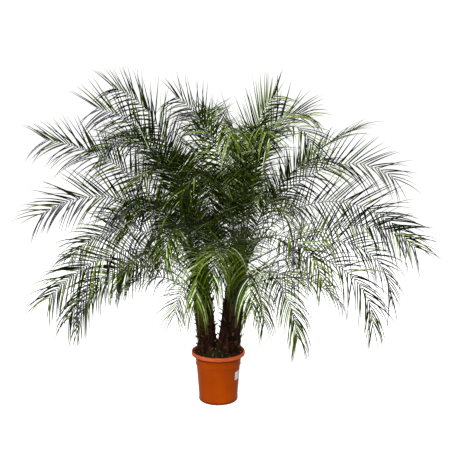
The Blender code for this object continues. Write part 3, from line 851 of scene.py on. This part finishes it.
def add_rib(pile, rib, rng):
    """Leaf base, petiole and rachis in one tube. The base clasps the stem below the petiole."""
    frond = rib.frond
    stem = STEMS[frond.stem]
    depth = rng.uniform(*SHEATH_DEPTHS)
    drift = math.radians(rng.uniform(-SHEATH_DRIFT, SHEATH_DRIFT))
    centres = []
    for share in np.arange(SHEATH_RINGS) / SHEATH_RINGS:
        height = frond.height - depth * (1 - share)
        if height >= STEM_FOOT + SHEATH_LOWEST:
            out = outwards(math.radians(frond.heading) + drift * (1 - share))
            centres.append(on_stem(stem, height, out, between(SHEATH_LIFTS, share)))
    low = len(centres)
    shares = np.linspace(0, 1, RIB_RINGS) ** 0.9
    points, _, side, upper = rib.at(shares)
    sheath_side = np.repeat(rib.level_side[None], low, 0)
    sheath_out = np.repeat(-rib.out[None], low, 0)
    sheath_share = np.linspace(0, 1, low)
    widths = np.concatenate((
        np.interp(sheath_share, (0, 0.4, 1), SHEATH_HALF_WIDTHS),
        np.interp(shares, (0, 0.05, PETIOLE_SHARE, 1), RIB_HALF_WIDTHS),
    ))
    heights = np.concatenate((
        np.interp(sheath_share, (0, 1), SHEATH_HALF_HEIGHTS),
        np.interp(shares, (0, PETIOLE_SHARE, 1), RIB_HALF_HEIGHTS),
    ))
    rings = oval_rings(
        np.vstack((np.array(centres).reshape(-1, 3), points)),
        np.vstack((sheath_side, side)),
        np.vstack((sheath_out, upper)),
        widths, heights, RIB_CORNERS,
    )
    looks = np.concatenate((
        np.where(sheath_share < SHEATH_BROWN_SHARE, SHEATH_LOOK, PETIOLE_LOOK),
        np.where(shares < PETIOLE_SHARE, PETIOLE_LOOK, RACHIS_LOOK),
    ))[:-1]
    add_tube(pile, rings, looks)


def make_fronds(materials):
    ribs = {"left": [], "right": []}
    stem_trees = {side: tree_of_node("stem_" + side) for side in STEMS}
    for name, frond in named_fronds():
        ribs[frond.stem].append((name, seated_rib(frond, name, stem_trees[frond.stem])))
    outline = {side: sum(frond.stem == side for frond in OUTLINE_FRONDS) for side in STEMS}
    for index, side in enumerate(STEMS):
        rng = np.random.default_rng(11 + index)
        leaflets = Pile()
        stalks = Pile()
        nodes = []
        for number, (name, rib) in enumerate(ribs[side]):
            pitch = LEAFLET_PITCHES[side] if number < outline[side] else FILLING_PITCH
            dress_rib(leaflets, rib, name, pitch, rng)
            add_rib(stalks, rib, rng)
            add_spines(stalks, rib, rng)
            nodes += solid_names(name)
        tones = [materials[tone] for tone in LEAF_TONES]
        leaflets.build("leaflets_" + side, tones, 40, nodes)
        looks = [materials["petiole"], materials["rachis"], materials["sheath"]]
        stalks.build("stalks_" + side, looks, 50, nodes)


# Bark

def make_bark(side, materials):
    """The stem's own surface: ridged fibre that bulges towards the other stem."""
    stem = STEMS[side]
    rings = []
    for height in np.linspace(STEM_FOOT, STEM_TOP, BARK_RINGS):
        ring = []
        for angle in 2 * np.pi * np.arange(BARK_SIDES) / BARK_SIDES:
            out = outwards(angle)
            ridge = noise.fractal(Vector((out[0] * 3, out[1] * 3, height * 26)), 1.0, 2.0, 4)
            strand = noise.noise(Vector((out[0] * 14, out[1] * 14, height * 40 + 9)))
            relief = BARK_RELIEF * (ridge + 0.6 * strand) + mat_depth(side, out, height)
            ring.append(on_stem(stem, height, out, relief - BARK_SUNK))
        rings.append(ring)
    pile = Pile()
    add_tube(pile, np.array(rings))
    pile.build("bark_" + side, [materials["bark"]], 60, ["stem_" + side])


def add_boot(pile, side, height, heading, rise, length, width, look, rng):
    """The stub of a cut leaf: a wedge that stands up and out from the stem, torn at its end."""
    out = outwards(heading)
    level = sideways(out)
    place = on_stem(STEMS[side], height, out, mat_depth(side, out, height) - BASE_SUNK)
    along = out * math.cos(rise) + UP * math.sin(rise)
    over = np.cross(level, along)
    shares = np.array((-0.35, 0.0, 0.35, 0.7, 1.0))
    count = len(shares)
    centres = place + along * (shares * length)[:, None]
    widths = width * np.interp(shares, (-0.35, 0.2, 1), (1.25, 1.0, 0.62))
    heights = width * np.interp(shares, (-0.35, 0.2, 1), (0.62, 0.42, 0.22))
    levels = np.repeat(level[None], count, 0)
    rings = oval_rings(centres, levels, np.repeat(over[None], count, 0), widths, heights, 8)
    rings += rng.normal(0, width * 0.06, rings.shape)
    rings[-1] += along * rng.uniform(-0.18, 0.18, (8, 1)) * length
    add_tube(pile, rings, look)


def make_boots(side, materials, rng):
    """Old leaf bases in a spiral, brown low down and green under the crown, and torn stubs."""
    brown, red, green, scrap = range(4)
    pile = Pile()
    height = STEM_FOOT + 0.006
    turn = rng.uniform(0, 2 * math.pi)
    while height < STEM_TOP - 0.05:
        turn += math.radians(GOLDEN_ANGLE)
        height += BASE_STEP
        heading = turn + rng.normal(0, 0.08)
        if rng.random() < np.clip((height - GREEN_START) / GREEN_SPAN, 0, 1):
            look = green
            steepness = BASE_RISES["green"]
            longer = GREEN_LONGER
        else:
            look = red if rng.random() < (RED_LOW if height < RED_HEIGHT else RED_HIGH) else brown
            steepness = BASE_RISES["brown"]
            longer = 1
        rise = math.radians(rng.normal(steepness, BASE_SPREAD))
        length = rng.uniform(*BASE_LENGTHS) * longer
        width = rng.uniform(*BASE_WIDTHS)
        add_boot(pile, side, height, heading, rise, length, width, look, rng)
    for degrees, height in STUBS[side]:
        rise = math.radians(rng.uniform(*STUB_RISES))
        heading = math.radians(degrees)
        add_boot(pile, side, height, heading, rise, STUB_LENGTH, STUB_WIDTH, scrap, rng)
    looks = [materials[name] for name in ("boot", "boot_red", "sheath_green", "scrap")]
    pile.build("leaf_bases_" + side, looks, 50, [])


def make_fibres(side, materials, rng):
    """Loose strands that wrap the stem between its leaf bases."""
    stem = STEMS[side]
    pile = Pile()
    shares = np.linspace(0, 1, 5)
    half = np.interp(shares, (0, 0.7, 1), FIBRE_HALF_WIDTHS)
    for _ in range(FIBRES):
        height = STEM_FOOT + 0.004 + (STEM_TOP - STEM_FOOT - 0.06) * rng.random() ** 1.3
        heading = rng.uniform(0, 2 * math.pi)
        turn = rng.normal(0, 0.55)
        climb = rng.uniform(*FIBRE_CLIMBS)
        lift = rng.uniform(*FIBRE_LIFTS) * (LOOSE_LIFT if rng.random() < LOOSE_SHARE else 1)
        centres = []
        for share in shares:
            place = height + climb * share
            radius = stem_radius(stem, min(place, STEM_TOP)) + 0.001
            radius += lift * math.sin(math.pi * share * 0.8)
            centres.append(stem_axis(stem, place) + outwards(heading + turn * share) * radius)
        centres = np.array(centres)
        along = units(np.gradient(centres, axis=0))
        level = units(np.cross(along, UP) + 1e-6)
        rings = oval_rings(centres, level, np.cross(level, along), half, half, 3)
        add_tube(pile, rings, int(rng.random() < 0.3))
    pile.build("fibres_" + side, [materials["fibre"], materials["fibre_pale"]], 60, [])


# Pot and soil

def arc(centre, radius, start, end, steps):
    """Profile points round a centre, between two angles in degrees from outwards."""
    angles = np.radians(np.linspace(start, end, steps))
    return [(centre[0] + radius * math.cos(a), centre[1] + radius * math.sin(a)) for a in angles]


def body_radius(height):
    return BASE_RADIUS + (BODY_TOP_RADIUS - BASE_RADIUS) * height / LIP_UNDERSIDE


def pot_profile():
    """Radius and height of each corner, from under the pot round its lip to its inside."""
    foot = (body_radius(FOOT_ROUND) - FOOT_ROUND, FOOT_ROUND)
    profile = [(0, HOLLOW), (BASE_RADIUS - FOOT_RING - WALL, HOLLOW), (BASE_RADIUS - FOOT_RING, 0)]
    profile += arc(foot, FOOT_ROUND, -90, -4, 7)
    heights = np.linspace(BODY_START, SHOULDER - 0.001, 6)
    profile += [(body_radius(height) - SHOULDER_STEP, height) for height in heights]
    ridge = (body_radius(SHOULDER) + SHOULDER_BEAD - BEAD_INSET, SHOULDER + BEAD_RISE)
    profile += [(body_radius(SHOULDER), SHOULDER)] + arc(ridge, BEAD_ROUND, -60, 75, 5)
    heights = np.linspace(SHOULDER + 0.007, LIP_UNDERSIDE - 0.002, 4)
    profile += [(body_radius(height), height) for height in heights]
    profile += [(BODY_TOP_RADIUS + 0.001, LIP_UNDERSIDE)]
    outer = RIM_RADIUS - LIP_ROUND
    inner = (LIP_INNER_RADIUS + LIP_INNER_ROUND, POT_HEIGHT - LIP_INNER_ROUND)
    profile += arc((outer, LIP_UNDERSIDE + LIP_ROUND), LIP_ROUND, -90, 0, 5)
    profile += arc((outer, POT_HEIGHT - LIP_ROUND), LIP_ROUND, 0, 90, 6)
    profile += arc(inner, LIP_INNER_ROUND, 90, 180, 5)
    profile += [(LIP_INNER_RADIUS, LIP_UNDERSIDE + 2 * WALL)]
    profile += [(BODY_TOP_RADIUS - WALL, LIP_UNDERSIDE + WALL)]
    bottom = LIP_UNDERSIDE - INSIDE_DEPTH
    return profile + [(BODY_TOP_RADIUS - WALL - 0.001, bottom), (0, bottom)]


def circle(radius, sides):
    """Points round the pot's axis."""
    angles = 2 * np.pi * np.arange(sides) / sides
    return [(radius * math.cos(a), radius * math.sin(a)) for a in angles]


def turned_rings(profile, sides):
    """Rings of points from a profile turned about the pot's axis."""
    return [[(x, y, height) for x, y in circle(max(radius, 1e-4), sides)] for radius, height in profile]


def make_pot(materials):
    pile = Pile()
    add_tube(pile, np.array(turned_rings(pot_profile(), POT_SIDES)))
    pile.build("pot_shell", [materials["pot"]], 38, ["pot"])


def make_label(materials):
    """A blank paper label, stuck on the pot's side and lifting a little at one corner."""
    side = LABEL_CELLS + 1
    corners = []
    for lift in (LABEL_LIFT, LABEL_LIFT + LABEL_THICKNESS):
        for row in range(side):
            for column in range(side):
                up = row / LABEL_CELLS
                aside = column / LABEL_CELLS
                height = LABEL_HEIGHT + (up - 0.5) * LABEL_SIZE
                radius = body_radius(height) - SHOULDER_STEP + lift
                radius += LABEL_CURL * max(0, up + aside - CURL_START) ** 2
                angle = math.radians(LABEL_HEADING) + (aside - 0.5) * LABEL_SIZE / radius
                corners.append((radius * math.cos(angle), radius * math.sin(angle), height))
    row = np.arange(LABEL_CELLS)[:, None] * side
    column = np.arange(LABEL_CELLS)
    first = row + column
    quads = np.stack((first, first + 1, first + side + 1, first + side), -1).reshape(-1, 4)
    top = side ** 2
    last = LABEL_CELLS
    rim = [step * side for step in range(last, 0, -1)] + list(range(last))
    rim += [step * side + last for step in range(last)]
    rim = np.array(rim + [last * side + step for step in range(last, 0, -1)])
    after = np.roll(rim, -1)
    edge = np.stack((rim, after, after + top, rim + top), -1)
    pile = Pile()
    pile.add(corners, (np.vstack((quads[:, ::-1], quads + top, edge)), 0))
    pile.build("blank_label", [materials["paper"]], 40, [])


def soil_height(x, y):
    """Peat that is rough all over and heaped against and between the stems."""
    rough = noise.fractal(Vector((x * 28, y * 28, 0.3)), 0.9, 2.1, 5)
    height = SOIL_TOP - SOIL_SETTLED + SOIL_ROUGHNESS * rough
    height += HEAP_HEIGHT * math.exp(-(x / HEAP_WIDTH) ** 2 - (y / (HEAP_WIDTH * 1.5)) ** 2)
    for stem in STEMS.values():
        away = math.hypot(x - stem.foot_x, y) - stem.radius
        height += COLLAR_HEIGHT * math.exp(-max(0, away) / COLLAR_WIDTH)
    edge = max(0, math.hypot(x, y) / SOIL_RADIUS - SOIL_EDGE_START) / (1 - SOIL_EDGE_START)
    return height - SOIL_EDGE_DROP * edge ** 2


def make_soil(materials):
    bottom = SOIL_TOP - SOIL_DEPTH
    below = [(SOIL_GAP, bottom), (SOIL_BOTTOM_RADIUS, bottom),
             (SOIL_BOTTOM_RADIUS, SOIL_SHOULDER), (SOIL_RADIUS, SOIL_SHOULDER)]
    rings = turned_rings(below, SOIL_SIDES)
    for radius in np.linspace(SOIL_RADIUS, SOIL_GAP, SOIL_RINGS):
        rings.append([(x, y, soil_height(x, y)) for x, y in circle(radius, SOIL_SIDES)])
    pile = Pile()
    add_tube(pile, np.array(rings))
    pile.build("peat", [materials["peat"]], 60, ["soil"])


def lump_shape():
    """Corners and faces of a twenty-sided lump."""
    golden = (1 + 5 ** 0.5) / 2
    corners = []
    for a in (-1, 1):
        for b in (-golden, golden):
            corners += [(0, a, b), (a, b, 0), (b, 0, a)]
    corners = units(np.array(corners, float))
    faces = []
    for i, j, k in combinations(range(len(corners)), 3):
        pairs = ((i, j), (j, k), (i, k))
        if max(np.linalg.norm(corners[a] - corners[b]) for a, b in pairs) < 1.1:
            normal = np.cross(corners[j] - corners[i], corners[k] - corners[i])
            faces.append((i, j, k) if normal @ corners[i] > 0 else (i, k, j))
    return corners, np.array(faces)


def make_crumbs(materials, rng):
    """Crumbs of peat, moss near the front edge, and a few white grains."""
    corners, faces = lump_shape()
    peat, moss, grain = range(3)
    pile = Pile()
    for _ in range(CRUMBS):
        radius = SOIL_RADIUS * 0.97 * math.sqrt(rng.random())
        angle = rng.uniform(0, 2 * math.pi)
        x, y = radius * math.cos(angle), radius * math.sin(angle)
        if any(math.hypot(x - stem.foot_x, y) < stem.radius * 0.95 for stem in STEMS.values()):
            continue
        look = peat
        if y < MOSS_FRONT and rng.random() < MOSS_SHARE:
            look = moss
        elif rng.random() < GRAIN_SHARE:
            look = grain
        size = rng.uniform(*(GRAIN_SIZES if look == grain else CRUMB_SIZES))
        shape = corners * rng.uniform(0.6, 1.3, 3) * size * rng.uniform(0.75, 1.2, (12, 1))
        if radius + size > SOIL_RADIUS:
            continue
        pile.add(shape + np.array((x, y, soil_height(x, y) + size * 0.3)), (faces, look))
    looks = [materials[name] for name in ("peat", "moss", "perlite")]
    pile.build("soil_crumbs", looks, 60, [])


# Stage

def make_stage():
    """A pale floor without an edge in view."""
    material, _, shader = principled("stage_white", 0.9, 0)
    shader.inputs["Base Color"].default_value = FLOOR_GREY
    shader.inputs["Emission Color"].default_value = (1, 1, 1, 1)
    shader.inputs["Emission Strength"].default_value = FLOOR_GLOW
    mesh = bpy.data.meshes.new("floor")
    signs = ((-1, -1), (1, -1), (1, 1), (-1, 1))
    corners = [(x * FLOOR_HALF, y * FLOOR_HALF, 0) for x, y in signs]
    mesh.from_pydata(corners, [], [(0, 1, 2, 3)])
    mesh.materials.append(material)
    floor = new_object("floor", mesh)
    # The floor takes shadows, but the world below the horizon stands for the light that it gives back
    floor.visible_diffuse = False


def add_lamp(lamp):
    light = bpy.data.lights.new(lamp.name, "AREA")
    light.size = lamp.size
    light.energy = lamp.power
    holder = new_object(lamp.name, light)
    holder.location = lamp.place
    aim = Vector(LIGHT_TARGET) - Vector(lamp.place)
    holder.rotation_euler = aim.to_track_quat("-Z", "Y").to_euler()


def make_lights():
    world = bpy.data.worlds.new("studio")
    bpy.context.scene.world = world
    world.use_nodes = True
    tree = world.node_tree
    background = tree.nodes["Background"]
    background.inputs["Color"].default_value = (1, 1, 1, 1)
    direction = new_node(tree, "TexCoord")
    split = new_node(tree, "SeparateXYZ")
    levels = new_node(tree, "FloatCurve")
    curve = levels.mapping.curves[0]
    curve.points[0].location = SURROUND_LEVELS[0]
    curve.points[1].location = SURROUND_LEVELS[-1]
    for place, level in SURROUND_LEVELS[1:-1]:
        curve.points.new(place, level)
    for point in curve.points:
        point.handle_type = "VECTOR"
    levels.mapping.update()
    span = new_node(tree, "MapRange", From_Min=-1)
    tree.links.new(direction.outputs["Generated"], split.inputs["Vector"])
    tree.links.new(split.outputs["Z"], span.inputs["Value"])
    tree.links.new(span.outputs["Result"], levels.inputs["Value"])
    tree.links.new(levels.outputs["Value"], background.inputs["Strength"])
    for lamp in LAMPS:
        add_lamp(lamp)
    bpy.context.scene.view_settings.view_transform = "Standard"


def make_camera():
    camera = bpy.data.cameras.new("camera")
    camera.lens = LENS_MM
    camera.sensor_width = SENSOR_MM
    holder = new_object("camera", camera)
    holder.location = CAMERA_PLACE
    holder.rotation_euler = (math.radians(CAMERA_TILT), 0, 0)
    bpy.context.scene.camera = holder


make_camera()
make_lights()
make_stage()
materials = make_materials()
make_pot(materials)
make_label(materials)
make_soil(materials)
make_crumbs(materials, np.random.default_rng(3))
for number, stem_side in enumerate(STEMS):
    bark_rng = np.random.default_rng(20 + number)
    make_bark(stem_side, materials)
    make_boots(stem_side, materials, bark_rng)
    make_fibres(stem_side, materials, bark_rng)
make_fronds(materials)
